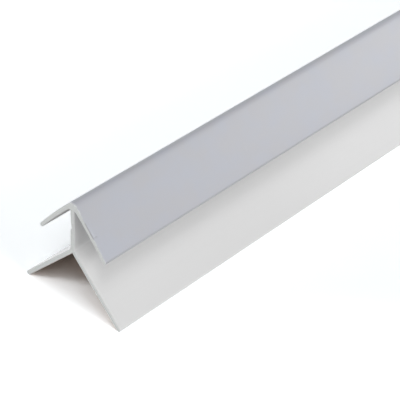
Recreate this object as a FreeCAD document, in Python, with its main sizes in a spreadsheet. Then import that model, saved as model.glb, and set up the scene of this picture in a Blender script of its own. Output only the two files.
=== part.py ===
import FreeCAD, Part
import math
import os

import Sketcher

# Corner guard moulding for panelled walls, one bar of extruded plastic.
# It lies on a floor on the two tips of its flange, like a tent: +Z up, +Y along the bar.
# The origin is the middle of the floor under it.
#
# Section, seen from the cut end:
#   flange  two long legs at the angle of the wall corner, fixed to the walls behind the panels
#   web     a plate that stands on the flange's outer corner, on the plane of symmetry
#   cap     two shorter legs carried by the web, bowed outside, leaning in so that the lips grip a panel
# Lengths are in millimetres and angles in degrees.

SIZES = [
    ("stock_length", 1000.0, "length of the bar as sold"),
    ("corner_angle", 90.0, "angle of the wall corner between the flange legs"),
    ("flange_inside", 26.5, "flange leg on its wall side, from the inside corner to the tip"),
    ("flange_wall", 1.5, "thickness of a flange leg, its tip is half round"),
    ("panel_gap", 10.2, "room for a panel at the web, square to the flange"),
    ("web_wall", 1.6, "thickness of the web"),
    ("relief_depth", 0.35, "how far the web's left side is cut back above its shoulder"),
    ("shoulder_rise", 8.2, "shoulder of the web above the inside corner of the flange"),
    ("relief_rise", 5.6, "height over which the cut-back side runs out again"),
    ("cap_inside", 18.8, "cap leg on its panel side, straight from the cap's inside corner to the lip"),
    ("ridge_wall", 1.4, "thickness of the cap at its ridge, upright above the inside corner"),
    ("lip_wall", 1.3, "thickness of a cap leg at its half-round lip"),
    ("lip_lean", 2.5, "how far each cap leg leans in from the flange's direction"),
    ("bow_radius", 160.0, "radius of the bowed faces of a cap leg, across the bar"),
    ("ridge_radius", 2.0, "rounding of the cap's outer corner"),
    ("root_radius", 0.4, "fillet between the web and the legs"),
]

# A sketch counts the points of an edge from one, and its own axes down from minus one.
START, END, CENTRE = range(1, 4)
AXES, UPRIGHT_AXIS = range(-1, -3, -1)
ACROSS = FreeCAD.Vector(1, 0, 0)
UPRIGHT = FreeCAD.Vector(0, 1, 0)
OUT = FreeCAD.Vector(0, 0, 1)

size = {name: value for name, value, meaning in SIZES}


def make_sheet(doc):
    """Puts the driving sizes in a spreadsheet, one row each: the name, the value and its meaning."""
    sheet = doc.addObject("Spreadsheet::Sheet", "Sizes")
    for row, (name, value, meaning) in enumerate(SIZES, start=1):
        sheet.set(f"A{row}", name)
        sheet.set(f"B{row}", str(value))
        sheet.set(f"C{row}", meaning)
        sheet.setAlias(f"B{row}", name)
    doc.recompute()
    return sheet


def section_plane_sketch(body, name):
    """Makes an empty sketch on the body's own upright plane across the bar."""
    plane = next(item for item in body.Origin.OriginFeatures if item.Role == "XZ_Plane")
    sketch = body.newObject("Sketcher::SketchObject", name)
    sketch.AttachmentSupport = [(plane, "")]
    sketch.MapMode = "FlatFace"
    return sketch


def polar(angle, length=1.0):
    """Returns the vector of a length at an angle in radians from +X."""
    return FreeCAD.Vector(math.cos(angle), math.sin(angle), 0) * length


def direction(start, end):
    """Returns the angle in radians, from +X, at which one point is seen from another."""
    return math.atan2(end.y - start.y, end.x - start.x)


def meeting_point(first, first_distance, second, second_distance):
    """Returns the point at given distances from two points, on the left of the way from first to second."""
    way = second - first
    along = (first_distance ** 2 - second_distance ** 2 + way.Length ** 2) / (2 * way.Length)
    aside = math.sqrt(first_distance ** 2 - along ** 2)
    return first + polar(direction(first, second), along) + polar(direction(first, second) + math.pi / 2, aside)


def constrain(sketch, relations, dimensions):
    """Adds all constraints at once, then names each dimension and ties it to the spreadsheet.

    A relation is the arguments of a constraint. A dimension is a name, an expression and those arguments,
    the last of which is its first value.
    """
    found = [Sketcher.Constraint(*relation) for relation in relations]
    found += [Sketcher.Constraint(*arguments) for name, expression, *arguments in dimensions]
    sketch.addConstraint(found)
    for index, (name, expression, *arguments) in enumerate(dimensions, start=len(relations)):
        sketch.renameConstraint(index, name)
        sketch.setExpression(f"Constraints.{name}", expression)


def draw_half_section(body):
    """Draws the right half of the section, closed along the plane of symmetry.

    The outline runs from the flange's tip round the flange leg, up the web, round the cap leg and over the
    ridge. It is drawn where its dimensions put it, so that solving them later starts from the right shape.
    """
    sketch = section_plane_sketch(body, "half_section")
    flange_angle = math.radians(size["corner_angle"] / 2)
    cap_angle = flange_angle - math.radians(size["lip_lean"])
    along_flange = polar(flange_angle - math.pi / 2)
    across_flange = polar(flange_angle)
    along_cap = polar(cap_angle - math.pi / 2)
    across_cap = polar(cap_angle)

    tip_radius = size["flange_wall"] / 2
    lip_radius = size["lip_wall"] / 2
    ridge_radius = size["ridge_radius"]
    root = size["root_radius"]
    bow = size["bow_radius"]
    half_web = size["web_wall"] / 2
    flange_leg = size["flange_inside"] - tip_radius
    cap_leg = size["cap_inside"] - lip_radius
    half_bow = math.asin(cap_leg / 2 / bow)

    corner = UPRIGHT * (flange_leg * math.cos(flange_angle) + tip_radius * (1 - math.sin(flange_angle)))
    outer_corner = corner + UPRIGHT * (size["flange_wall"] / math.sin(flange_angle))
    cap_corner = outer_corner + UPRIGHT * (size["panel_gap"] / math.sin(flange_angle))
    tip_start = corner + along_flange * flange_leg
    tip_centre = tip_start + across_flange * tip_radius
    lip_start = cap_corner + along_cap * cap_leg
    lip_centre = lip_start + polar(cap_angle - half_bow, lip_radius)
    ridge_centre = cap_corner + UPRIGHT * (size["ridge_wall"] - ridge_radius)
    grip_centre = cap_corner + along_cap * (cap_leg / 2) - across_cap * (bow * math.cos(half_bow))
    outer_centre = meeting_point(lip_centre, bow - lip_radius, ridge_centre, bow - ridge_radius)

    root_side = half_web + root
    lower_rise = (root - root_side * math.cos(flange_angle)) / math.sin(flange_angle)
    lower_root = outer_corner + ACROSS * root_side + UPRIGHT * lower_rise
    upper_rise = math.sqrt((bow - root) ** 2 - (root_side - grip_centre.x) ** 2)
    upper_root = FreeCAD.Vector(root_side, grip_centre.y + upper_rise, 0)

    def line(first, last, construction=False):
        return sketch.addGeometry(Part.LineSegment(first, last), construction)

    def bend(centre, radius, first, last):
        return sketch.addGeometry(Part.ArcOfCircle(Part.Circle(centre, OUT, radius), first, last))

    half_turn = math.pi
    lip_turn = direction(outer_centre, lip_centre)
    ridge_turn = direction(outer_centre, ridge_centre)
    root_turn = direction(grip_centre, upper_root)
    wall_face = line(tip_start, corner)
    tip = bend(tip_centre, tip_radius, flange_angle - half_turn, flange_angle)
    panel_face = line(tip_centre + across_flange * tip_radius, lower_root - across_flange * root)
    flange_root = bend(lower_root, root, half_turn, half_turn + flange_angle)
    web_side = line(lower_root - ACROSS * root, upper_root - ACROSS * root)
    cap_root = bend(upper_root, root, root_turn, half_turn)
    grip_face = bend(grip_centre, bow, cap_angle - half_bow, root_turn)
    lip = bend(lip_centre, lip_radius, cap_angle - half_bow - half_turn, lip_turn)
    outer_face = bend(outer_centre, bow, lip_turn, ridge_turn)
    ridge = bend(ridge_centre, ridge_radius, ridge_turn, half_turn / 2)
    middle = line(ridge_centre + UPRIGHT * ridge_radius, corner)
    cap_chord = line(lip_start, cap_corner, construction=True)

    relations = [
        ("Tangent", wall_face, START, tip, START),
        ("Tangent", tip, END, panel_face, START),
        ("Parallel", wall_face, panel_face),
        ("Tangent", panel_face, END, flange_root, END),
        ("Tangent", flange_root, START, web_side, START),
        ("Vertical", web_side),
        ("Tangent", web_side, END, cap_root, END),
        ("Tangent", cap_root, START, grip_face, END),
        ("Tangent", grip_face, START, lip, START),
        ("Tangent", lip, END, outer_face, START),
        ("Tangent", outer_face, END, ridge, START),
        ("PointOnObject", ridge, CENTRE, UPRIGHT_AXIS),
        ("Coincident", ridge, END, middle, START),
        ("PointOnObject", middle, START, UPRIGHT_AXIS),
        ("PointOnObject", middle, END, UPRIGHT_AXIS),
        ("Coincident", middle, END, wall_face, END),
        ("Coincident", cap_chord, START, grip_face, START),
        ("PointOnObject", cap_chord, END, UPRIGHT_AXIS),
        ("PointOnObject", cap_chord, END, grip_face),
    ]
    quarter_turn = math.pi / 2
    dimensions = [
        ("flange_direction", "(90 + Sizes.corner_angle / 2) * 1 deg",
         "Angle", wall_face, quarter_turn + flange_angle),
        ("flange_leg", "Sizes.flange_inside - Sizes.flange_wall / 2", "Distance", wall_face, flange_leg),
        ("tip_rounding", "Sizes.flange_wall / 2", "Radius", tip, tip_radius),
        ("tip_level", "Sizes.flange_wall / 2", "DistanceY", AXES, START, tip, CENTRE, tip_radius),
        ("web_side", "Sizes.web_wall / 2", "DistanceX", AXES, START, web_side, START, half_web),
        ("lower_fillet", "Sizes.root_radius", "Radius", flange_root, root),
        ("upper_fillet", "Sizes.root_radius", "Radius", cap_root, root),
        ("slot", "Sizes.panel_gap", "Distance", cap_chord, END, panel_face, size["panel_gap"]),
        ("cap_direction", "(90 + Sizes.corner_angle / 2 - Sizes.lip_lean) * 1 deg",
         "Angle", cap_chord, quarter_turn + cap_angle),
        ("cap_leg", "Sizes.cap_inside - Sizes.lip_wall / 2", "Distance", cap_chord, cap_leg),
        ("inner_bow", "Sizes.bow_radius", "Radius", grip_face, bow),
        ("outer_bow", "Sizes.bow_radius", "Radius", outer_face, bow),
        ("lip_rounding", "Sizes.lip_wall / 2", "Radius", lip, lip_radius),
        ("ridge_rounding", "Sizes.ridge_radius", "Radius", ridge, ridge_radius),
        ("ridge_thickness", "Sizes.ridge_wall",
         "DistanceY", cap_chord, END, ridge, END, size["ridge_wall"]),
    ]
    constrain(sketch, relations, dimensions)

    level = sketch.addConstraint(Sketcher.Constraint("DistanceY", AXES, START, wall_face, END, corner.y))
    sketch.setDriving(level, False)
    sketch.renameConstraint(level, "corner_level")
    return sketch


def draw_relief(body):
    """Draws the wedge that cuts back the web's left side above its shoulder."""
    sketch = section_plane_sketch(body, "web_relief")
    edge = -size["web_wall"] / 2
    corner_level = body.Document.getObject("half_section").getDatum("corner_level").Value
    shoulder = ACROSS * edge + UPRIGHT * (corner_level + size["shoulder_rise"])
    inner = shoulder + ACROSS * size["relief_depth"]
    top = shoulder + UPRIGHT * size["relief_rise"]
    ledge, slope, side = [
        sketch.addGeometry(Part.LineSegment(first, last))
        for first, last in ((shoulder, inner), (inner, top), (top, shoulder))
    ]
    relations = [
        ("Coincident", ledge, END, slope, START),
        ("Coincident", slope, END, side, START),
        ("Coincident", side, END, ledge, START),
        ("Horizontal", ledge),
        ("Vertical", side),
    ]
    dimensions = [
        ("web_side", "Sizes.web_wall / 2", "DistanceX", ledge, START, AXES, START, -edge),
        ("depth", "Sizes.relief_depth", "DistanceX", ledge, START, ledge, END, size["relief_depth"]),
        ("rise", "Sizes.relief_rise", "DistanceY", ledge, START, side, START, size["relief_rise"]),
        ("shoulder_level", "half_section.Constraints.corner_level + Sizes.shoulder_rise * 1 mm",
         "DistanceY", AXES, START, ledge, START, shoulder.y),
    ]
    constrain(sketch, relations, dimensions)
    return sketch


def make_moulding(doc):
    """Builds the bar: half the section extruded, mirrored, then the web's relief cut along its whole length."""
    body = doc.addObject("PartDesign::Body", "corner_moulding")
    body.Label = "corner_moulding"

    half_bar = body.newObject("PartDesign::Pad", "half_bar")
    half_bar.Profile = draw_half_section(body)
    half_bar.Midplane = True
    half_bar.setExpression("Length", "Sizes.stock_length")
    doc.recompute()

    whole_bar = body.newObject("PartDesign::Mirrored", "whole_bar")
    symmetry = next(item for item in body.Origin.OriginFeatures if item.Role == "YZ_Plane")
    whole_bar.Originals = [half_bar]
    whole_bar.MirrorPlane = (symmetry, [""])
    body.Tip = whole_bar
    doc.recompute()

    relief = body.newObject("PartDesign::Pocket", "relief_cut")
    relief.Profile = draw_relief(body)
    relief.Midplane = True
    relief.setExpression("Length", "Sizes.stock_length")
    body.Tip = relief
    doc.recompute()
    return body


def check(doc, bodies):
    """Stops the build if an object failed or a shape is empty or broken."""
    for item in doc.Objects:
        if {"Invalid", "Error"} & set(item.State):
            raise RuntimeError(f"{item.Name} failed: {item.State}")
    for body in bodies:
        if body.Shape.isNull() or not body.Shape.isValid() or len(body.Shape.Solids) != 1:
            raise RuntimeError(f"{body.Label} has no sound solid")


doc = FreeCAD.newDocument("corner_guard_moulding")
make_sheet(doc)
bodies = [make_moulding(doc)]
check(doc, bodies)
os.makedirs("parts", exist_ok=True)
for body in bodies:
    body.Shape.exportStep(f"parts/{body.Label}.step")
    box = body.Shape.BoundBox
    print(f"{body.Label}: {box.XLength:.2f} x {box.YLength:.2f} x {box.ZLength:.2f} mm, floor at {box.ZMin:.3f}")
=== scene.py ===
"""Looks of the corner guard moulding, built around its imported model.

The moulding is one bar of extruded plastic. Its section is carried along the bar as one closed skin, with
the fine detail that the solids leave to this file: broken edges at the saw cuts, the silver film worn back
from them and torn in one place, die lines, and the finish of each surface. Sizes are millimetres until they
go into a mesh.
"""

import logging
import math
from dataclasses import dataclass
from enum import Enum

import bpy
import numpy as np
from mathutils import Matrix, Vector


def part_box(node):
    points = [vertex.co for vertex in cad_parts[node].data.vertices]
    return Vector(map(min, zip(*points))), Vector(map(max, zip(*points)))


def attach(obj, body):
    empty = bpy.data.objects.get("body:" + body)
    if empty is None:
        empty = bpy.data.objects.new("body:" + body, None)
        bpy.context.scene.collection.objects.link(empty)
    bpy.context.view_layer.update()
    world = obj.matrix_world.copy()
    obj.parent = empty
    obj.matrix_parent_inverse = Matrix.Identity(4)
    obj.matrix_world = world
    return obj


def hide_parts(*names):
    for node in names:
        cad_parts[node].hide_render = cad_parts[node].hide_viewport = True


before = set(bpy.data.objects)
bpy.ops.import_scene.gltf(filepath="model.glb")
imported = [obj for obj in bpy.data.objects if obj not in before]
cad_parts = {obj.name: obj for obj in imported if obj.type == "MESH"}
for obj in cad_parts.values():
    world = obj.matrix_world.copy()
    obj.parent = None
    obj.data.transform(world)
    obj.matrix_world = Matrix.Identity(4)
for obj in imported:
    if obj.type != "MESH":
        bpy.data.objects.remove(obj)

MM = 0.001
NODE = "corner_moulding"
IMAGE_WIDTH = 400.0
BAKE_MAP = "OFBake"

Triple = tuple[float, float, float]
Colour = tuple[float, float, float, float]

log = logging.getLogger("corner_guard")


class Surface(Enum):
    """What a stretch of the skin is. The value is its material slot on the piece."""

    FILM = 0
    BARE = 1
    # Matt grips, darker than the bare plastic as painted shade under the cap.
    DULL_PAINTED_SHADE = 2
    # Wall side, brown and darker as painted shade under the bar.
    WALL_SIDE_PAINTED_SHADE = 3
    SAWN = 4


class Way(Enum):
    """Which way a round stretch of the outline turns."""

    CLOCKWISE = -1
    ANTICLOCKWISE = 1


def polar(angle: float, length: float) -> np.ndarray:
    """Returns the vector of a length at an angle in radians from the section's x axis."""
    return np.array([math.cos(angle), math.sin(angle)]) * length


def bearing(start: np.ndarray, end: np.ndarray) -> float:
    """Returns the angle in radians at which one point of the section is seen from another."""
    return math.atan2(end[1] - start[1], end[0] - start[0])


def smooth_step(value: np.ndarray) -> np.ndarray:
    """Returns 0 below 0, 1 above 1 and an even S curve between."""
    held = np.clip(value, 0.0, 1.0)
    return held * held * (3.0 - 2.0 * held)


def wobble(places: np.ndarray, longest: float, seed: int, waves: int = 7, ratio: float = 1.6) -> np.ndarray:
    """Works out a fixed uneven line as a sum of sines, each shorter and weaker than the last by one ratio.

    Args:
        places: Distances along the line.
        longest: Length of the longest wave, in the same unit.
        seed: Picks the phases.
        waves: How many sines are added.
        ratio: How many times shorter and weaker each wave is than the last.

    Returns:
        Values about 0, mostly within -1 and 1.
    """
    usual_height = 1.4
    phases = np.random.default_rng(seed).uniform(0.0, 2.0 * math.pi, waves)
    finer = ratio ** np.arange(waves)
    angles = 2.0 * math.pi * places[..., None] * finer / longest + phases
    return (np.sin(angles) / finer).sum(-1) / usual_height


@dataclass(frozen=True)
class Run:
    """A stretch of the outline: its points, without the last one, and the surface that it carries."""

    points: np.ndarray
    surface: Surface

    def mirrored(self, last: np.ndarray) -> "Run":
        """Mirrors the run in the plane of symmetry, gone through from its end.

        Args:
            last: The point where the run ends, which belongs to the next run.

        Returns:
            The mirrored run, which starts at the mirrored last point.
        """
        points = np.vstack([last, self.points[:0:-1]])
        return Run(points * np.array([-1.0, 1.0]), self.surface)


@dataclass(frozen=True)
class Outline:
    """The closed outline of the section, gone round clockwise from the top of the ridge.

    Fields:
        points: Places in the section, one row a point.
        normals: Unit vectors out of the plastic.
        slots: Material slot of the stretch that starts at each point.
        reach: Distance along the outline from the ridge, positive on the right side.
        sharp: True where the outline has a corner.
        curve: How tightly the outline bends at each point, one over its radius.
        CORNER: Bend in radians from which on a point is a corner.
    """

    points: np.ndarray
    normals: np.ndarray
    slots: np.ndarray
    reach: np.ndarray
    sharp: np.ndarray
    curve: np.ndarray

    CORNER = math.radians(25.0)

    @classmethod
    def around(cls, runs: list[Run]) -> "Outline":
        """Joins runs into an outline. A normal is the mean way of a point's two sides, turned a quarter left.

        Args:
            runs: Stretches of the outline in order, each starting where the one before it ends.

        Returns:
            The closed outline.
        """
        points = np.vstack([run.points for run in runs])
        slots = np.concatenate([np.full(len(run.points), run.surface.value) for run in runs])
        ahead = np.roll(points, -1, axis=0) - points
        lengths = np.linalg.norm(ahead, axis=1)
        ahead /= lengths[:, None]
        behind = np.roll(ahead, 1, axis=0)
        mean = ahead + behind
        mean /= np.linalg.norm(mean, axis=1)[:, None]
        normals = np.stack([-mean[:, 1], mean[:, 0]], axis=1)
        bend = np.arccos(np.clip((ahead * behind).sum(1), -1.0, 1.0))
        gone = np.concatenate([[0.0], np.cumsum(lengths)[:-1]])
        whole = lengths.sum()
        reach = np.where(gone > whole / 2.0, gone - whole, gone)
        curve = 2.0 * bend / (lengths + np.roll(lengths, 1))
        return cls(points, normals, slots, reach, bend > cls.CORNER, curve)


@dataclass(frozen=True)
class Section:
    """The section: flange legs on the walls, a web, and bowed cap legs whose lips grip the panels.

    Fields:
        corner_angle: Angle between the flange legs, in degrees.
        flange_inside, flange_wall: Width of a leg on its wall side, and its thickness.
        panel_gap: Room for a panel between flange and cap, at the web.
        web_wall: Thickness of the web.
        relief_depth: Depth of the relief on the web's left side, at its shoulder.
        shoulder_rise, relief_rise: How far the shoulder lies above the flange's inside corner, and how far
            above the shoulder the relief runs out.
        cap_inside: Width of a cap leg on its panel side.
        ridge_wall, lip_wall: Thickness of the cap at its ridge and its lips.
        lip_lean: How far a cap leg leans towards its panel, in degrees.
        bow_radius, ridge_radius, root_radius: Radii of the cap's bow, its ridge and the web's fillets.
        ridge_ease: How much the ridge bends at its top rather than further down, where 1 is an even bend.
        ridge_points, ridge_joins: Points on half of the ridge, and places where its end is looked for.
        fine_step, film_step, plain_step: Rough steps between points on small rounds, film and plain faces.
    """

    corner_angle: float = 90.0
    flange_inside: float = 26.5
    flange_wall: float = 1.5
    panel_gap: float = 10.2
    web_wall: float = 1.6
    relief_depth: float = 0.35
    shoulder_rise: float = 8.2
    relief_rise: float = 5.6
    cap_inside: float = 18.8
    ridge_wall: float = 1.4
    lip_wall: float = 1.3
    lip_lean: float = 2.5
    bow_radius: float = 160.0
    ridge_radius: float = 2.0
    ridge_ease: float = 2.5
    ridge_points: int = 24
    ridge_joins: int = 2000
    root_radius: float = 0.4
    fine_step: float = 0.12
    film_step: float = 0.22
    plain_step: float = 1.6

    @staticmethod
    def line(first: np.ndarray, last: np.ndarray, step: float) -> np.ndarray:
        """Works out even points on a straight stretch.

        Args:
            first: Where the stretch starts.
            last: Where it ends.
            step: Rough distance between points.

        Returns:
            Points first + (last - first) * share at even shares, without the last one.
        """
        count = max(1, round(float(np.linalg.norm(last - first)) / step))
        share = np.arange(count)[:, None] / count
        return first + (last - first) * share

    @staticmethod
    def arc(
        centre: np.ndarray, radius: float, first: float, last: float, way: Way, step: float
    ) -> np.ndarray:
        """Works out even points on a round stretch.

        Args:
            centre: Middle of the circle.
            radius: Radius of the circle.
            first: Angle at which the stretch starts, in radians.
            last: Angle at which it ends, in radians.
            way: Which way it turns.
            step: Rough distance between points.

        Returns:
            Points centre + radius * (cos, sin) at even angles, without the last one.
        """
        turn = (last - first) * way.value % (2.0 * math.pi) * way.value
        count = max(3, round(abs(turn) * radius / step))
        angles = first + turn * np.arange(count) / count
        return centre + radius * np.stack([np.cos(angles), np.sin(angles)], axis=1)

    @staticmethod
    def meeting_point(
        first: np.ndarray, first_far: float, second: np.ndarray, second_far: float
    ) -> np.ndarray:
        """Works out where two circles meet.

        Args:
            first: Middle of the first circle.
            first_far: Its radius.
            second: Middle of the second circle.
            second_far: Its radius.

        Returns:
            The meeting point on the left of the way from the first middle to the second.
        """
        way = second - first
        length = float(np.linalg.norm(way))
        along = (first_far**2 - second_far**2 + length**2) / (2.0 * length)
        aside = math.sqrt(first_far**2 - along**2)
        angle = bearing(first, second)
        return first + polar(angle, along) + polar(angle + math.pi / 2.0, aside)

    @property
    def corner_level(self) -> float:
        """Works out how high the flange's inside corner lies when the tips stand on the floor.

        Returns:
            The height, from the drop of a leg's straight part and of its round tip.
        """
        flange_angle = math.radians(self.corner_angle / 2.0)
        tip_radius = self.flange_wall / 2.0
        leg = self.flange_inside - tip_radius
        return leg * math.cos(flange_angle) + tip_radius * (1.0 - math.sin(flange_angle))

    def ridge(
        self, top: np.ndarray, outer_centre: np.ndarray, joins: np.ndarray
    ) -> tuple[np.ndarray, float]:
        """Works out half of the ridge, which bends most at its top and eases into the bowed face.

        Its way turns by T * (1 - (1 - u)^ease) as u goes from 0 to 1, where T is the turn from level to the
        bow's own way. How long it is and where the bow takes over follow from the height of the top.

        Args:
            top: Top of the ridge.
            outer_centre: Middle of the bow's circle.
            joins: Angles of the bow, from the ridge on, at which it may take over.

        Returns:
            Even points without the last one, and the angle at which the bow takes over.
        """
        count = self.ridge_points
        bent = 1.0 - (1.0 - (np.arange(count) + 0.5) / count) ** self.ridge_ease
        turns = (math.pi / 2.0 - joins)[:, None] * bent
        level, fall = np.cos(turns).mean(1), np.sin(turns).mean(1)
        aside = outer_centre[0] + self.bow_radius * np.cos(joins)
        below = top[1] - outer_centre[1] - self.bow_radius * np.sin(joins)
        join = float(np.interp(0.0, below * level - aside * fall, joins))
        turn = (math.pi / 2.0 - join) * bent
        length = (outer_centre[0] + self.bow_radius * math.cos(join)) / np.cos(turn).mean()
        steps = np.stack([np.cos(turn), -np.sin(turn)], axis=1) * length / count
        return top + np.vstack([np.zeros(2), np.cumsum(steps, axis=0)[:-1]]), join

    def outline(self) -> Outline:
        """Works out the outline from arcs that run into each other and straight faces, as the die has them.

        Returns:
            The closed outline, right half first, then its mirror image with the web's relief.
        """
        up = np.array([0.0, 1.0])
        across = np.array([1.0, 0.0])
        half_turn = math.pi
        flange_angle = math.radians(self.corner_angle / 2.0)
        cap_angle = flange_angle - math.radians(self.lip_lean)
        tip_radius, lip_radius = self.flange_wall / 2.0, self.lip_wall / 2.0
        root, bow = self.root_radius, self.bow_radius
        cap_leg = self.cap_inside - lip_radius
        half_bow = math.asin(cap_leg / 2.0 / bow)

        corner = up * self.corner_level
        outer_corner = corner + up * self.flange_wall / math.sin(flange_angle)
        cap_corner = outer_corner + up * self.panel_gap / math.sin(flange_angle)
        tip_start = corner + polar(flange_angle - half_turn / 2.0, self.flange_inside - tip_radius)
        tip_centre = tip_start + polar(flange_angle, tip_radius)
        lip_start = cap_corner + polar(cap_angle - half_turn / 2.0, cap_leg)
        lip_centre = lip_start + polar(cap_angle - half_bow, lip_radius)
        ridge_centre = cap_corner + up * (self.ridge_wall - self.ridge_radius)
        cap_middle = (cap_corner + lip_start) / 2.0
        grip_centre = cap_middle - polar(cap_angle, bow * math.cos(half_bow))
        outer_centre = self.meeting_point(lip_centre, bow - lip_radius, ridge_centre, bow - self.ridge_radius)
        root_side = self.web_wall / 2.0 + root
        lower_rise = (root - root_side * math.cos(flange_angle)) / math.sin(flange_angle)
        lower_root = outer_corner + across * root_side + up * lower_rise
        upper_rise = math.sqrt((bow - root) ** 2 - (root_side - grip_centre[0]) ** 2)
        upper_root = np.array([root_side, grip_centre[1] + upper_rise])

        lip_turn = bearing(outer_centre, lip_centre)
        joins = np.linspace(bearing(outer_centre, ridge_centre), lip_turn, self.ridge_joins)
        ridge, ridge_turn = self.ridge(ridge_centre + up * self.ridge_radius, outer_centre, joins)
        grip_turn = cap_angle - half_bow
        tip_turn = flange_angle - half_turn
        root_turn = bearing(grip_centre, upper_root)
        web_top = upper_root - across * root
        web_foot = lower_root - across * root
        back, on = Way.CLOCKWISE, Way.ANTICLOCKWISE
        fine, film, plain = self.fine_step, self.film_step, self.plain_step

        cap = [
            Run(ridge, Surface.FILM),
            Run(self.arc(outer_centre, bow, ridge_turn, lip_turn, back, film), Surface.FILM),
            Run(self.arc(lip_centre, lip_radius, lip_turn, grip_turn - half_turn, back, fine), Surface.FILM),
            # The grips get the matt plastic that is darkened as painted shade.
            Run(self.arc(grip_centre, bow, grip_turn, root_turn, on, plain), Surface.DULL_PAINTED_SHADE),
            Run(self.arc(upper_root, root, root_turn, half_turn, on, fine), Surface.BARE),
        ]
        web = [Run(self.line(web_top, web_foot, plain), Surface.BARE)]
        panel_foot = lower_root - polar(flange_angle, root)
        panel_tip = tip_centre + polar(flange_angle, tip_radius)
        flange = [
            Run(self.arc(lower_root, root, half_turn, half_turn + flange_angle, on, fine), Surface.BARE),
            Run(self.line(panel_foot, panel_tip, plain), Surface.BARE),
            Run(self.arc(tip_centre, tip_radius, flange_angle, tip_turn, back, fine), Surface.BARE),
            # The wall side gets the brown plastic that paints the shade under the bar.
            Run(self.line(tip_start, corner, plain), Surface.WALL_SIDE_PAINTED_SHADE),
        ]
        mirror = np.array([-1.0, 1.0])
        shoulder = np.array([-self.web_wall / 2.0, self.corner_level + self.shoulder_rise])
        stops = [web_foot * mirror, shoulder, shoulder + across * self.relief_depth]
        stops += [shoulder + up * self.relief_rise, web_top * mirror]
        relieved_web = [
            Run(self.line(first, last, plain), Surface.BARE) for first, last in zip(stops, stops[1:])
        ]
        right = cap + web + flange
        ends = [run.points[0] for run in right[1:]] + [corner]
        other = [run.mirrored(end) for run, end in zip(right, ends)]
        left_flange, left_cap = other[: len(cap) : -1], other[len(cap) - 1 :: -1]
        return Outline.around(right + left_flange + relieved_web + left_cap)


@dataclass(frozen=True)
class FilmTear:
    """A place where the saw lifted the film: a cleft along the cut and a short tear where it ends.

    Fields:
        start, end, tip: Where the cleft starts, where it turns into the tear, and the tear's tip, each as
            distance from the ridge along the skin and distance from the cut.
        cleft_depth, cleft_half_width: Size of the cleft.
        flap_lift, flap_width: How far the film beside the cleft stands up, and over what width.
    """

    start: tuple[float, float] = (7.0, 0.06)
    end: tuple[float, float] = (11.9, 0.10)
    tip: tuple[float, float] = (11.8, 1.5)
    cleft_depth: float = 0.12
    cleft_half_width: float = 0.11
    flap_lift: float = 0.10
    flap_width: float = 0.30

    def distance(self, reach: np.ndarray, depth: np.ndarray) -> np.ndarray:
        """Works out how far each place of the skin is from the line start, end, tip.

        Args:
            reach: Distances from the ridge along the skin.
            depth: Distances from the cut.

        Returns:
            Distances from the nearer of the line's two stretches.
        """
        found = []
        for first, last in ((self.start, self.end), (self.end, self.tip)):
            way = np.subtract(last, first)
            aside, ahead = reach - first[0], depth - first[1]
            held = np.clip((aside * way[0] + ahead * way[1]) / float(way @ way), 0.0, 1.0)
            found.append(np.hypot(aside - held * way[0], ahead - held * way[1]))
        return np.minimum(*found)

    def cleft(self, reach: np.ndarray, depth: np.ndarray) -> np.ndarray:
        """Returns a bell across the line that the film tore along, 1 on the line; it shapes the cleft and
        places the shade painted in it.
        """
        return np.exp(-((self.distance(reach, depth) / self.cleft_half_width) ** 2))

    def relief(self, reach: np.ndarray, depth: np.ndarray) -> np.ndarray:
        """Works out the skin's height: a bell-shaped cleft, and a flap that rises beside it to its end.

        Args:
            reach: Distances from the ridge along the skin.
            depth: Distances from the cut.

        Returns:
            Heights above the plain skin.
        """
        along = (reach - self.start[0]) / (self.end[0] - self.start[0])
        rise = np.clip(along, 0.0, 1.0) ** 2 * (along < 1.0)
        beside = (depth - self.end[1] - self.flap_width) / self.flap_width
        return self.flap_lift * rise * np.exp(-(beside**2)) - self.cleft_depth * self.cleft(reach, depth)


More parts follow.
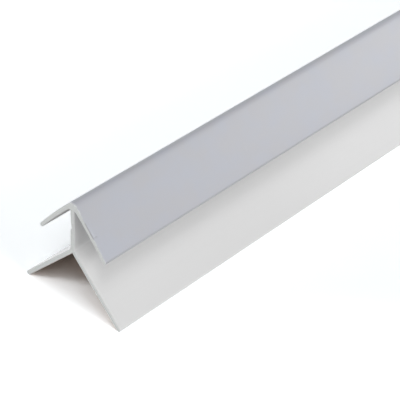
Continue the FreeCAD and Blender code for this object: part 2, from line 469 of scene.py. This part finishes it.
@dataclass(frozen=True)
class SawnEnd:
    """A saw cut across the bar: its edge is a little broken, and the film has worn back from it unevenly.

    Fields:
        seed: Picks the unevenness.
        edge_radius, edge_unevenness, edge_wave: Radius of the broken edge, how much of it varies, and the
            length of its longest wave.
        worn_back, worn_unevenness, worn_wave: The same for the strip where the film is gone.
        ridge_worn_back, ridge_worn_reach, ridge_worn_spread: How much wider that strip is by the ridge, how
            far from the ridge it is widest, and over what distance.
        fade: Width over which the film thins out.
        chip, chip_reach, chip_spread: Depth, place and width of the chip beside the ridge.
    """

    seed: int
    edge_radius: float = 0.13
    edge_unevenness: float = 0.35
    edge_wave: float = 5.0
    worn_back: float = 0.12
    worn_unevenness: float = 0.5
    worn_wave: float = 3.1
    ridge_worn_back: float = 0.34
    ridge_worn_reach: float = 2.6
    ridge_worn_spread: float = 1.5
    fade: float = 0.1
    chip: float = 0.0
    chip_reach: float = 0.7
    chip_spread: float = 0.9

    def inset(self, reach: np.ndarray, depth: np.ndarray) -> np.ndarray:
        """Works out how far the broken edge lies inside the plain skin.

        The edge is a quarter round of uneven radius, which grows at the chip.

        Args:
            reach: Distances from the ridge along the skin.
            depth: Distances from the cut.

        Returns:
            Distances into the plastic, 0 beyond the rounding.
        """
        chipped = self.chip * np.exp(-(((reach - self.chip_reach) / self.chip_spread) ** 2))
        uneven = self.edge_unevenness * wobble(reach, self.edge_wave, self.seed)
        radius = self.edge_radius * (1.0 + uneven) + chipped
        left = np.clip(radius - depth, 0.0, None)
        return radius - np.sqrt(np.clip(radius**2 - left**2, 0.0, None))

    def worn(self, reach: np.ndarray, depth: np.ndarray) -> np.ndarray:
        """Works out where the film is gone: nearer to the cut than an uneven line.

        The line's distance from the cut is the strip's width, with a bell added by the ridge.

        Args:
            reach: Distances from the ridge along the skin.
            depth: Distances from the cut.

        Returns:
            1 where the film is gone, 0 where it is whole.
        """
        at_ridge = np.exp(-(((reach - self.ridge_worn_reach) / self.ridge_worn_spread) ** 2))
        width = self.worn_back + self.ridge_worn_back * at_ridge
        width = width * (1.0 + self.worn_unevenness * wobble(reach, self.worn_wave, self.seed + 1))
        return smooth_step((width - depth) / self.fade + 0.5)


@dataclass(frozen=True)
class NodeValue:
    """A shader value that takes part in Python arithmetic: each operation adds a Math node."""

    shader: "Shader"
    socket: bpy.types.NodeSocket

    def combined(self, operation: str, first: object, second: object) -> "NodeValue":
        """Returns the value of a Math node with two inputs."""
        return self.shader.value("ShaderNodeMath", "Value", {"operation": operation}, {0: first, 1: second})

    def __add__(self, other: object) -> "NodeValue":
        """Returns self + other."""
        return self.combined("ADD", self, other)

    def __sub__(self, other: object) -> "NodeValue":
        """Returns self - other."""
        return self.combined("SUBTRACT", self, other)

    def __rsub__(self, other: object) -> "NodeValue":
        """Returns other - self."""
        return self.combined("SUBTRACT", other, self)

    def __mul__(self, other: object) -> "NodeValue":
        """Returns self * other."""
        return self.combined("MULTIPLY", self, other)

    def clamped(self, low: float, high: float) -> "NodeValue":
        """Returns this value put on the scale from low, 0, to high, 1, and held there."""
        sockets = {"Value": self, "From Min": low, "From Max": high}
        return self.shader.value("ShaderNodeMapRange", "Result", {"clamp": True}, sockets)

    def mixed(self, other: "NodeValue", share: float) -> "NodeValue":
        """Returns a share of this value and the rest of another."""
        return self * share + other * (1.0 - share)

    def about(self, middle: float, spread: float) -> "NodeValue":
        """Returns this value, which lies about 0.5, put about another middle and over a spread."""
        return self * spread + (middle - spread / 2.0)

    __radd__ = __add__
    __rmul__ = __mul__


class Shader:
    """A material's or world's nodes, emptied, with one method that makes any node."""

    def __init__(self, owner: bpy.types.Material | bpy.types.World) -> None:
        """Takes over the owner's node tree.

        Args:
            owner: The material or world that gets the nodes.
        """
        owner.use_nodes = True
        self.tree = owner.node_tree
        self.tree.nodes.clear()

    def node(self, kind: str, settings: dict | None = None, sockets: dict | None = None) -> bpy.types.Node:
        """Makes a node.

        Args:
            kind: The node's type.
            settings: Properties of the node, set first.
            sockets: Values or links of its inputs, by name or place.

        Returns:
            The new node.
        """
        made = self.tree.nodes.new(kind)
        for name, setting in (settings or {}).items():
            setattr(made, name, setting)
        for key, given in (sockets or {}).items():
            source = given.socket if isinstance(given, NodeValue) else given
            if isinstance(source, bpy.types.NodeSocket):
                self.tree.links.new(source, made.inputs[key])
            else:
                made.inputs[key].default_value = source
        return made

    def value(
        self, kind: str, output: str, settings: dict | None = None, sockets: dict | None = None
    ) -> NodeValue:
        """Makes a node and returns one of its outputs as a value."""
        return NodeValue(self, self.node(kind, settings, sockets).outputs[output])

    def noise(
        self, grain: float, stretch: Triple = (1.0, 1.0, 1.0), turn: float = 0.0, detail: float = 2.0
    ) -> NodeValue:
        """Makes a noise in the object's own coordinates.

        Args:
            grain: Grain size in millimetres.
            stretch: What each coordinate is multiplied by first, so that a small number draws the grain out.
            turn: Turn about the bar's length before that, in radians.
            detail: How many finer noises are added.

        Returns:
            The noise, from 0 to 1 about 0.5.
        """
        where = self.node("ShaderNodeTexCoord").outputs["Object"]
        moves = {"Vector": where, "Rotation": (0.0, turn, 0.0), "Scale": stretch}
        mapped = self.node("ShaderNodeMapping", None, moves).outputs["Vector"]
        sockets = {"Vector": mapped, "Scale": 1.0 / (grain * MM), "Detail": detail}
        return self.value("ShaderNodeTexNoise", "Fac", None, sockets)

    def attribute(self, name: str) -> NodeValue:
        """Returns a number that the mesh holds at each point."""
        return self.value("ShaderNodeAttribute", "Fac", {"attribute_name": name})

    def blend(self, share: object, first: object, second: object) -> bpy.types.NodeSocket:
        """Returns a colour between two colours. The share is of the second."""
        made = self.node("ShaderNodeMix", {"data_type": "RGBA"}, {0: share, 6: first, 7: second})
        return made.outputs[2]

    def bump(self, height: NodeValue, depth: float) -> bpy.types.NodeSocket:
        """Returns the normal of a relief whose height goes from 0 to 1 over a depth in millimetres."""
        sockets = {"Height": height, "Distance": depth * MM, "Strength": 1.0}
        return self.node("ShaderNodeBump", None, sockets).outputs["Normal"]

    def finish(self, sockets: dict) -> None:
        """Ends the nodes in one Principled shader with the given inputs."""
        principled = self.node("ShaderNodeBsdfPrincipled", None, sockets)
        self.node("ShaderNodeOutputMaterial", None, {"Surface": principled.outputs["BSDF"]})


@dataclass(frozen=True)
class BarePlastic:
    """The extruded plastic as it leaves the die: smooth, pale grey, with faint die lines along the bar.

    Fields:
        name: The material's name.
        colour, streak: Colours between and in the lines.
        shine, roughness, roughness_spread: Gloss of the plastic, and how much its roughness varies.
        die_line, die_length, die_depth: Width of the lines, how far they are drawn out, and their relief.
        cloud, cloud_length: Size of the cloudy patches, and how far they are drawn out.
        line_share, tone_range: Share of the lines in the colour, and what part of their range shows.
    """

    name: str = "bare_plastic"
    colour: Colour = (0.79, 0.79, 0.79, 1.0)
    streak: Colour = (0.78, 0.78, 0.78, 1.0)
    shine: float = 0.15
    roughness: float = 0.12
    die_line: float = 0.7
    die_length: float = 0.004
    die_depth: float = 0.002
    roughness_spread: float = 0.16
    cloud: float = 30.0
    cloud_length: float = 0.2
    line_share: float = 0.6
    tone_range: tuple[float, float] = (0.35, 0.7)

    def material(self) -> bpy.types.Material:
        """Makes the material: noise drawn out along the bar gives the lines their colour and relief.

        Returns:
            The new material.
        """
        made = bpy.data.materials.new(self.name)
        shader = Shader(made)
        lines = shader.noise(self.die_line, (1.0, self.die_length, 1.0), detail=3.0)
        cloud = shader.noise(self.cloud, (1.0, self.cloud_length, 1.0))
        tone = lines.mixed(cloud, self.line_share).clamped(*self.tone_range)
        shader.finish(
            {
                "Base Color": shader.blend(tone, self.colour, self.streak),
                "Roughness": cloud.about(self.roughness, self.roughness_spread),
                "Specular IOR Level": self.shine,
                "Normal": shader.bump(lines, self.die_depth),
            }
        )
        return made


@dataclass(frozen=True)
class SilverFilm:
    """The satin silver-grey film on the cap: a fine metallic grain, with shade painted round the lips.

    Fields:
        glint, shade: Colours between which the whole film varies.
        worn, cleft, painted_lip_shade: Colours where it is worn off, of the shade painted at the bottom of
            the torn cleft, and of the shade painted round the lips.
        shine, roughness, roughness_spread: Gloss of the film, and how much its roughness varies.
        grain, grain_depth: Size and relief of the grain.
        cloud, cloud_length: Size of the cloudy patches, and how far they are drawn out.
        grain_share, tone_range: Share of the grain in the colour, and what part of its range shows.
        rough_share: Share of the grain in the roughness.
    """

    glint: Colour = (0.445, 0.462, 0.517, 1.0)
    shade: Colour = (0.453, 0.458, 0.492, 1.0)
    worn: Colour = (0.60, 0.615, 0.62, 1.0)
    # Painted shade at the bottom of the torn cleft.
    cleft: Colour = (0.34, 0.34, 0.36, 1.0)
    # Painted shade round the lips, darker than the film.
    painted_lip_shade: Colour = (0.373, 0.378, 0.404, 1.0)
    shine: float = 1.0
    roughness: float = 0.36
    grain: float = 0.5
    grain_depth: float = 0.003
    roughness_spread: float = 0.2
    cloud: float = 7.0
    cloud_length: float = 0.7
    grain_share: float = 0.3
    tone_range: tuple[float, float] = (0.38, 0.62)
    rough_share: float = 0.6

    def material(self) -> bpy.types.Material:
        """Makes the material: two noises tone it, and the mesh says where the film is worn off and where
        shade is painted, round the lips and in the torn cleft.

        Returns:
            The new material.
        """
        made = bpy.data.materials.new("silver_film")
        shader = Shader(made)
        grain = shader.noise(self.grain, detail=3.0)
        cloud = shader.noise(self.cloud, (1.0, self.cloud_length, 1.0))
        tone = grain.mixed(cloud, self.grain_share).clamped(*self.tone_range)
        rough = grain.mixed(cloud, self.rough_share)
        body = shader.blend(tone, self.shade, self.glint)
        # Painted shade: the film is darkened where the outline bends tightly, round the lips.
        whole = shader.blend(shader.attribute("stretch"), body, self.painted_lip_shade)
        skin = shader.blend(1.0 - shader.attribute("film"), whole, self.worn)
        shader.finish(
            {
                # Painted shade: the cleft colour darkens the bottom of the torn cleft.
                "Base Color": shader.blend(shader.attribute("tear"), skin, self.cleft),
                "Roughness": rough.about(self.roughness, self.roughness_spread),
                "Specular IOR Level": self.shine,
                "Normal": shader.bump(grain, self.grain_depth),
            }
        )
        return made


@dataclass(frozen=True)
class SawnPlastic:
    """Plastic cut by a saw: matt, a little darker and greener, with close straight marks and torn specks.

    Fields:
        colour, mark: Colours between and in the marks.
        shine, roughness, roughness_spread: Gloss of the cut, and how much its roughness varies.
        mark_width, mark_length, mark_turn: Width of the marks, how far they are drawn out, and their slant in
            radians.
        mark_share, tone_range: Share of the marks in the relief, and what part of its range shows.
        speck, depth: Size of the specks, and depth of the whole relief.
    """

    colour: Colour = (0.71, 0.73, 0.72, 1.0)
    mark: Colour = (0.66, 0.68, 0.67, 1.0)
    shine: float = 0.15
    roughness: float = 0.72
    mark_width: float = 0.35
    mark_turn: float = 0.35
    mark_length: float = 0.06
    mark_share: float = 0.55
    tone_range: tuple[float, float] = (0.36, 0.64)
    roughness_spread: float = 0.2
    speck: float = 0.25
    depth: float = 0.03

    def material(self) -> bpy.types.Material:
        """Makes the material: noise drawn out across the section gives the marks, a finer one the specks.

        Returns:
            The new material.
        """
        made = bpy.data.materials.new("sawn_plastic")
        shader = Shader(made)
        marks = shader.noise(self.mark_width, (self.mark_length, 1.0, 1.0), self.mark_turn)
        specks = shader.noise(self.speck, detail=3.0)
        relief = marks.mixed(specks, self.mark_share)
        tone = relief.clamped(*self.tone_range)
        shader.finish(
            {
                "Base Color": shader.blend(tone, self.mark, self.colour),
                "Roughness": specks.about(self.roughness, self.roughness_spread),
                "Specular IOR Level": self.shine,
                "Normal": shader.bump(relief, self.depth),
            }
        )
        return made


@dataclass(frozen=True)
class Skin:
    """The bar's skin, one row a station.

    Fields:
        places: Points in millimetres.
        film: Share of the film that is left at each point.
        tear: How far each point lies in the torn film's cleft, 1 at its bottom; it places the shade painted
            there.
        stretch: Share of the shade painted at each point, from how tightly the outline bends there, 1 round
            the lips.
    """

    places: np.ndarray
    film: np.ndarray
    tear: np.ndarray
    stretch: np.ndarray


@dataclass(frozen=True)
class Moulding:
    """The bar: its section carried along its length between two saw cuts.

    Fields:
        section: The section.
        front, rear: The saw cuts.
        tear: The torn place in the film by the front cut.
        film_thickness: Thickness of the film, missing where it has worn off.
        lip_shade_curves: Bends, as one over a radius, at which the shade painted round the lips starts and is
            full.
        film, bare, dull_painted_shade, wall_side_painted_shade, sawn: Finishes of the cap's outside, plain
        faces,
            the grips in the cap, matt and darker as painted shade, the flange's wall side, brown and darker
            as painted shade under the bar, and the cuts.
        edge_rings: Stations round each broken edge.
        fine_step, fine_depth: Step between the next stations, and how far in they go.
        growth, longest_step: How fast the steps grow after that, and the longest of them.
        map_edge, map_rows: Distance from a cut within which the flat map is drawn out, and the heights on the
            map of the front cut, of that distance from either cut, and of the rear cut.
        map_cut, map_gap: Size of each cut on the flat map, and the room round it.
    """

    section: Section = Section()
    front: SawnEnd = SawnEnd(seed=3, chip=0.5)
    rear: SawnEnd = SawnEnd(seed=11)
    tear: FilmTear = FilmTear()
    film_thickness: float = 0.05
    lip_shade_curves: tuple[float, float] = (0.75, 1.25)
    film: SilverFilm = SilverFilm()
    bare: BarePlastic = BarePlastic()
    # Grips in the cap: matt, and darker than the bare plastic as painted shade under the cap.
    dull_painted_shade: BarePlastic = BarePlastic(
        "dull_painted_shade_plastic", (0.62, 0.62, 0.62, 1.0), (0.61, 0.61, 0.61, 1.0), shine=0.0, roughness=0.7
    )
    # Painted shade: the wall side is brown and darker so that the shade under the bar turns brown.
    wall_side_painted_shade: BarePlastic = BarePlastic("wall_side_painted_shade", (0.47, 0.375, 0.32, 1.0), (0.455, 0.365, 0.31, 1.0))
    sawn: SawnPlastic = SawnPlastic()
    edge_rings: int = 5
    fine_step: float = 0.07
    fine_depth: float = 1.8
    growth: float = 1.35
    longest_step: float = 30.0
    map_edge: float = 2.5
    map_rows: tuple[float, ...] = (0.0, 0.14, 0.74, 0.8)
    map_cut: float = 0.18
    map_gap: float = 0.01

    def depths(self, length: float) -> np.ndarray:
        """Works out the stations along the bar: rings round the broken edge, even steps, then growing ones.

        Args:
            length: Length of the bar.

        Returns:
            Distances from the front cut, the rear half being the front half turned round.
        """
        turn = np.linspace(0.0, math.pi / 2.0, self.edge_rings)
        radius = max(self.front.edge_radius, self.rear.edge_radius)
        edge = radius * (1.0 - np.cos(turn))
        fine = np.arange(edge[-1] + self.fine_step, self.fine_depth, self.fine_step)
        count = math.ceil(math.log(self.longest_step / self.fine_step) / math.log(self.growth))
        grown = fine[-1] + np.cumsum(self.fine_step * self.growth ** np.arange(1, count + 1))
        rest = math.ceil((length / 2.0 - grown[-1]) / self.longest_step)
        even = np.linspace(grown[-1], length / 2.0, rest + 1)[1:]
        half = np.concatenate([edge, fine, grown, even])
        return np.concatenate([half, length - half[-2::-1]])

    def skin(self, outline: Outline, depths: np.ndarray, length: float) -> Skin:
        """Works out the skin as a grid: point (u, v) is outline point u at station v.

        Each point is moved along its normal by the relief there.

        Args:
            outline: The section's outline.
            depths: Stations along the bar, from the front cut.
            length: Length of the bar.

        Returns:
            The skin's points with what they carry.
        """
        reach = outline.reach
        near = depths[:, None]
        far = length - near
        worn = np.maximum(self.front.worn(reach, near), self.rear.worn(reach, far))
        has_film = outline.slots == Surface.FILM.value
        # Mask of the shade painted at the bottom of the torn cleft.
        tear = np.where(has_film, self.tear.cleft(reach, near), 0.0)
        height = -self.front.inset(reach, near) - self.rear.inset(reach, far)
        on_film = self.tear.relief(reach, near) - worn * self.film_thickness
        height = height + np.where(has_film, on_film, 0.0)
        flat = outline.points + outline.normals * height[:, :, None]
        along = np.broadcast_to(near - length / 2.0, height.shape)
        places = np.stack([flat[..., 0], along, flat[..., 1]], axis=-1)
        # Painted shade round the lips: its share grows with how tightly the outline bends.
        least, most = self.lip_shade_curves
        stretch = np.broadcast_to(smooth_step((outline.curve - least) / (most - least)), height.shape)
        return Skin(places, np.where(has_film, 1.0 - worn, 0.0), tear, stretch)

    def flat_map(self, outline: Outline, depths: np.ndarray, length: float) -> np.ndarray:
        """Lays the skin out flat: across is the way round the section, up the way along the bar.

        The stretch next to each cut is drawn out more than the rest, because the worn and torn film is there.
        The cuts lie side by side above the skin.

        Args:
            outline: The section's outline.
            depths: Stations along the bar, from the front cut.
            length: Length of the bar.

        Returns:
            Places from 0 to 1, one row a corner of a face, in the order of the mesh.
        """
        sides = np.linalg.norm(np.roll(outline.points, -1, axis=0) - outline.points, axis=1)
        across = np.concatenate([[0.0], np.cumsum(sides)]) / sides.sum()
        stops = (0.0, self.map_edge, length - self.map_edge, length)
        up = np.interp(depths, stops, self.map_rows)
        places = np.stack(np.meshgrid(across, up), axis=-1)
        corners = [places[:-1, :-1], places[1:, :-1], places[1:, 1:], places[:-1, 1:]]
        skin = np.stack(corners, axis=2).reshape(-1, 2)
        low = outline.points.min(axis=0)
        cut = (outline.points - low) / np.ptp(outline.points, axis=0).max() * self.map_cut
        floor = self.map_rows[-1] + self.map_gap
        front = cut + np.array([self.map_gap, floor])
        rear = cut[::-1] + np.array([self.map_cut + 2.0 * self.map_gap, floor])
        return np.vstack([skin, front, rear])

    def mesh(self, length: float) -> bpy.types.Mesh:
        """Makes the closed mesh: quads between stations, one flat face at each cut.

        Args:
            length: Length of the bar.

        Returns:
            The mesh, in metres, with its material slots, smooth faces and sharp edges set.
        """
        outline = self.section.outline()
        depths = self.depths(length)
        skin = self.skin(outline, depths, length)
        rows, columns = skin.film.shape
        index = np.arange(rows * columns).reshape(rows, columns)
        beside = np.roll(index, -1, axis=1)
        quads = np.stack([index[:-1], index[1:], beside[1:], beside[:-1]], axis=-1).reshape(-1, 4)
        faces = quads.tolist() + [index[0].tolist(), index[-1, ::-1].tolist()]
        made = bpy.data.meshes.new(NODE + "_skin")
        made.from_pydata((skin.places.reshape(-1, 3) * MM).tolist(), [], faces)
        slots = np.concatenate([np.tile(outline.slots, rows - 1), np.full(2, Surface.SAWN.value)])
        made.polygons.foreach_set("material_index", slots.astype(np.int32))
        # stretch carries the shade painted round the lips, tear the shade painted in the torn cleft.
        for name, carried in (("film", skin.film), ("tear", skin.tear), ("stretch", skin.stretch)):
            data = made.attributes.new(name, "FLOAT", "POINT").data
            data.foreach_set("value", carried.astype(np.float32).ravel())
        layer = made.uv_layers.new(name=BAKE_MAP)
        layer.data.foreach_set("uv", self.flat_map(outline, depths, length).astype(np.float32).ravel())
        made.shade_smooth()
        self.crease(made, outline, rows)
        made.update()
        return made

    @staticmethod
    def crease(mesh: bpy.types.Mesh, outline: Outline, rows: int) -> None:
        """Marks as sharp the edges along the section's corners and round both cuts.

        Args:
            mesh: The bar's mesh.
            outline: The section's outline.
            rows: How many stations the mesh has.
        """
        columns = len(outline.reach)
        ends = np.empty(len(mesh.edges) * 2, np.int32)
        mesh.edges.foreach_get("vertices", ends)
        station, place = np.divmod(ends.reshape(-1, 2), columns)
        along = (place[:, 0] == place[:, 1]) & outline.sharp[place[:, 0]]
        at_cut = (station[:, 0] == station[:, 1]) & np.isin(station[:, 0], (0, rows - 1))
        marks = mesh.attributes.new("sharp_edge", "BOOLEAN", "EDGE")
        marks.data.foreach_set("value", along | at_cut)

    def build(self) -> bpy.types.Object:
        """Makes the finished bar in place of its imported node.

        Returns:
            The bar's object, dressed and riding on the part's body.
        """
        low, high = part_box(NODE)
        piece = bpy.data.objects.new("corner_guard_bar", self.mesh((high.y - low.y) / MM))
        for finish in (self.film, self.bare, self.dull_painted_shade, self.wall_side_painted_shade, self.sawn):
            piece.data.materials.append(finish.material())
        bpy.context.scene.collection.objects.link(piece)
        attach(piece, "root")
        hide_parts(NODE)
        return piece


@dataclass(frozen=True)
class Lamp:
    """A soft lamp far away.

    Fields:
        name: The lamp's name.
        azimuth, elevation: Where it stands, in degrees. Azimuth 0 is in front of the cut, 90 on the right.
        width: How wide it looks from the bar, in degrees.
        level: How bright it makes a white face that is turned to it.
    """

    name: str
    azimuth: float
    elevation: float
    width: float
    level: float

    def build(self) -> None:
        """Makes the lamp, which shines along the line from where it stands to the bar."""
        data = bpy.data.lights.new(self.name, "SUN")
        data.energy = self.level * math.pi
        data.angle = math.radians(self.width)
        made = bpy.data.objects.new(self.name, data)
        turn, rise = math.radians(self.azimuth), math.radians(self.elevation)
        source = Vector((math.sin(turn) * math.cos(rise), -math.cos(turn) * math.cos(rise), math.sin(rise)))
        made.rotation_euler = source.to_track_quat("Z", "Y").to_euler()
        bpy.context.scene.collection.objects.link(made)


@dataclass(frozen=True)
class Studio:
    """A pale floor, even light from all round and soft lamps.

    Fields:
        floor_half: Half of the floor's side, in metres.
        floor_colour: Colour with which the floor lights the bar.
        floor_seen, floor_lift: Two colours whose sum is the floor as it is looked at.
        surround: Strength of the even light.
        lamps: The lamps.
    """

    floor_half: float = 4.0
    floor_colour: Colour = (0.84, 0.84, 0.84, 1.0)
    floor_seen: Colour = (1.0, 1.0, 1.0, 1.0)
    floor_lift: Colour = (0.83, 0.885, 0.92, 1.0)
    surround: float = 0.02
    lamps: tuple[Lamp, ...] = (
        Lamp("low_right_lamp", azimuth=90.0, elevation=5.0, width=18.0, level=0.345),
        Lamp("right_lamp", azimuth=90.0, elevation=25.0, width=24.0, level=0.204),
        Lamp("rear_right_lamp", azimuth=150.0, elevation=22.0, width=24.0, level=0.138),
        Lamp("rear_lamp", azimuth=180.0, elevation=40.0, width=24.0, level=0.042),
        Lamp("front_top_lamp", azimuth=46.0, elevation=54.0, width=24.0, level=0.147),
        Lamp("top_lamp", azimuth=60.0, elevation=74.0, width=24.0, level=0.147),
        Lamp("front_left_lamp", azimuth=-48.0, elevation=14.0, width=16.0, level=0.57),
        Lamp("front_lamp", azimuth=-30.0, elevation=32.0, width=30.0, level=0.05),
    )

    def floor(self) -> None:
        """Makes the floor as one flat face, seen paler than it lights the bar, with the bar's shadow."""
        corners = np.array([[-1.0, -1.0, 0.0], [1.0, -1.0, 0.0], [1.0, 1.0, 0.0], [-1.0, 1.0, 0.0]])
        mesh = bpy.data.meshes.new("floor")
        mesh.from_pydata((corners * self.floor_half).tolist(), [], [[0, 1, 2, 3]])
        made = bpy.data.objects.new("floor", mesh)
        material = bpy.data.materials.new("pale_floor")
        shader = Shader(material)
        plain, seen, lift = (
            shader.node("ShaderNodeBsdfDiffuse", None, {"Color": colour}).outputs[0]
            for colour in (self.floor_colour, self.floor_seen, self.floor_lift)
        )
        pale = shader.node("ShaderNodeAddShader", None, {0: seen, 1: lift}).outputs[0]
        mixed = shader.node("ShaderNodeMixShader", None, {0: self.looking(shader), 1: plain, 2: pale})
        shader.node("ShaderNodeOutputMaterial", None, {"Surface": mixed.outputs[0]})
        mesh.materials.append(material)
        bpy.context.scene.collection.objects.link(made)

    @staticmethod
    def looking(shader: Shader) -> NodeValue:
        """Tells the rays that look at the background from those that only gather its light.

        Args:
            shader: The nodes that ask.

        Returns:
            1 for a ray from the camera, off a gloss or through glass, and 0 for the rest.
        """
        rays = shader.node("ShaderNodeLightPath").outputs
        names = ("Is Camera Ray", "Is Glossy Ray", "Is Transmission Ray")
        camera, glossy, through = (NodeValue(shader, rays[name]) for name in names)
        return (camera + glossy + through).clamped(0.0, 1.0)

    def world(self) -> None:
        """Makes the surround: white where it is looked at, an even low light for the rest."""
        world = bpy.data.worlds.new("surround")
        bpy.context.scene.world = world
        shader = Shader(world)
        strength = self.looking(shader) * (1.0 - self.surround) + self.surround
        white = (1.0, 1.0, 1.0, 1.0)
        light = shader.node("ShaderNodeBackground", None, {"Color": white, "Strength": strength})
        shader.node("ShaderNodeOutputWorld", None, {"Surface": light.outputs[0]})

    def build(self) -> None:
        """Makes the floor, the surround and the lamps."""
        self.floor()
        self.world()
        for lamp in self.lamps:
            lamp.build()
        bpy.context.scene.view_settings.view_transform = "Standard"


@dataclass(frozen=True)
class ViewPoint:
    """The camera, placed from the flange's inside corner at the front cut.

    Fields:
        azimuth, elevation, roll: Where it stands and how it is turned, in degrees, counted as for a lamp.
        focal_pixels: Focal length, in pixels of the image.
        corner_right, corner_up, corner_depth: Where the corner lies in its view.
        sensor: Width of its sensor.
        nearest: Distance from which on it sees, in metres.
    """

    azimuth: float = 40.198
    elevation: float = 36.132
    roll: float = -2.964
    focal_pixels: float = 1700.209
    corner_right: float = -35.961
    corner_up: float = -17.263
    corner_depth: float = 490.0
    sensor: float = 36.0
    nearest: float = 0.01

    def build(self, corner: Vector) -> None:
        """Makes the scene's camera: the corner lies right, up and deep by the given distances in its view.

        Args:
            corner: The flange's inside corner at the front cut, in metres.
        """
        turn, rise = math.radians(self.azimuth), math.radians(self.elevation)
        ahead = Vector((-math.sin(turn) * math.cos(rise), math.cos(turn) * math.cos(rise), -math.sin(rise)))
        right = Vector((math.cos(turn), math.sin(turn), 0.0))
        up = right.cross(ahead)
        place = corner - (right * self.corner_right + up * self.corner_up + ahead * self.corner_depth) * MM
        axes = Matrix((right, up, -ahead)).transposed().to_4x4()
        data = bpy.data.cameras.new("camera")
        data.sensor_width = self.sensor
        data.lens = self.sensor * self.focal_pixels / IMAGE_WIDTH
        data.clip_start = self.nearest
        made = bpy.data.objects.new("camera", data)
        rolled = Matrix.Rotation(math.radians(-self.roll), 4, "Z")
        made.matrix_world = Matrix.Translation(place) @ axes @ rolled
        bpy.context.scene.collection.objects.link(made)
        bpy.context.scene.camera = made


def main() -> None:
    logging.basicConfig(level=logging.INFO, format="%(name)s: %(message)s")
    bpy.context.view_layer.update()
    moulding = Moulding()
    piece = moulding.build()
    log.info("%s: %d faces", piece.name, len(piece.data.polygons))
    studio = Studio()
    studio.build()
    log.info("studio: floor and %d lamps", len(studio.lamps))
    low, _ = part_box(NODE)
    ViewPoint().build(Vector((0.0, low.y, moulding.section.corner_level * MM)))
    log.info("camera: in place")


if __name__ == "__main__":
    main()
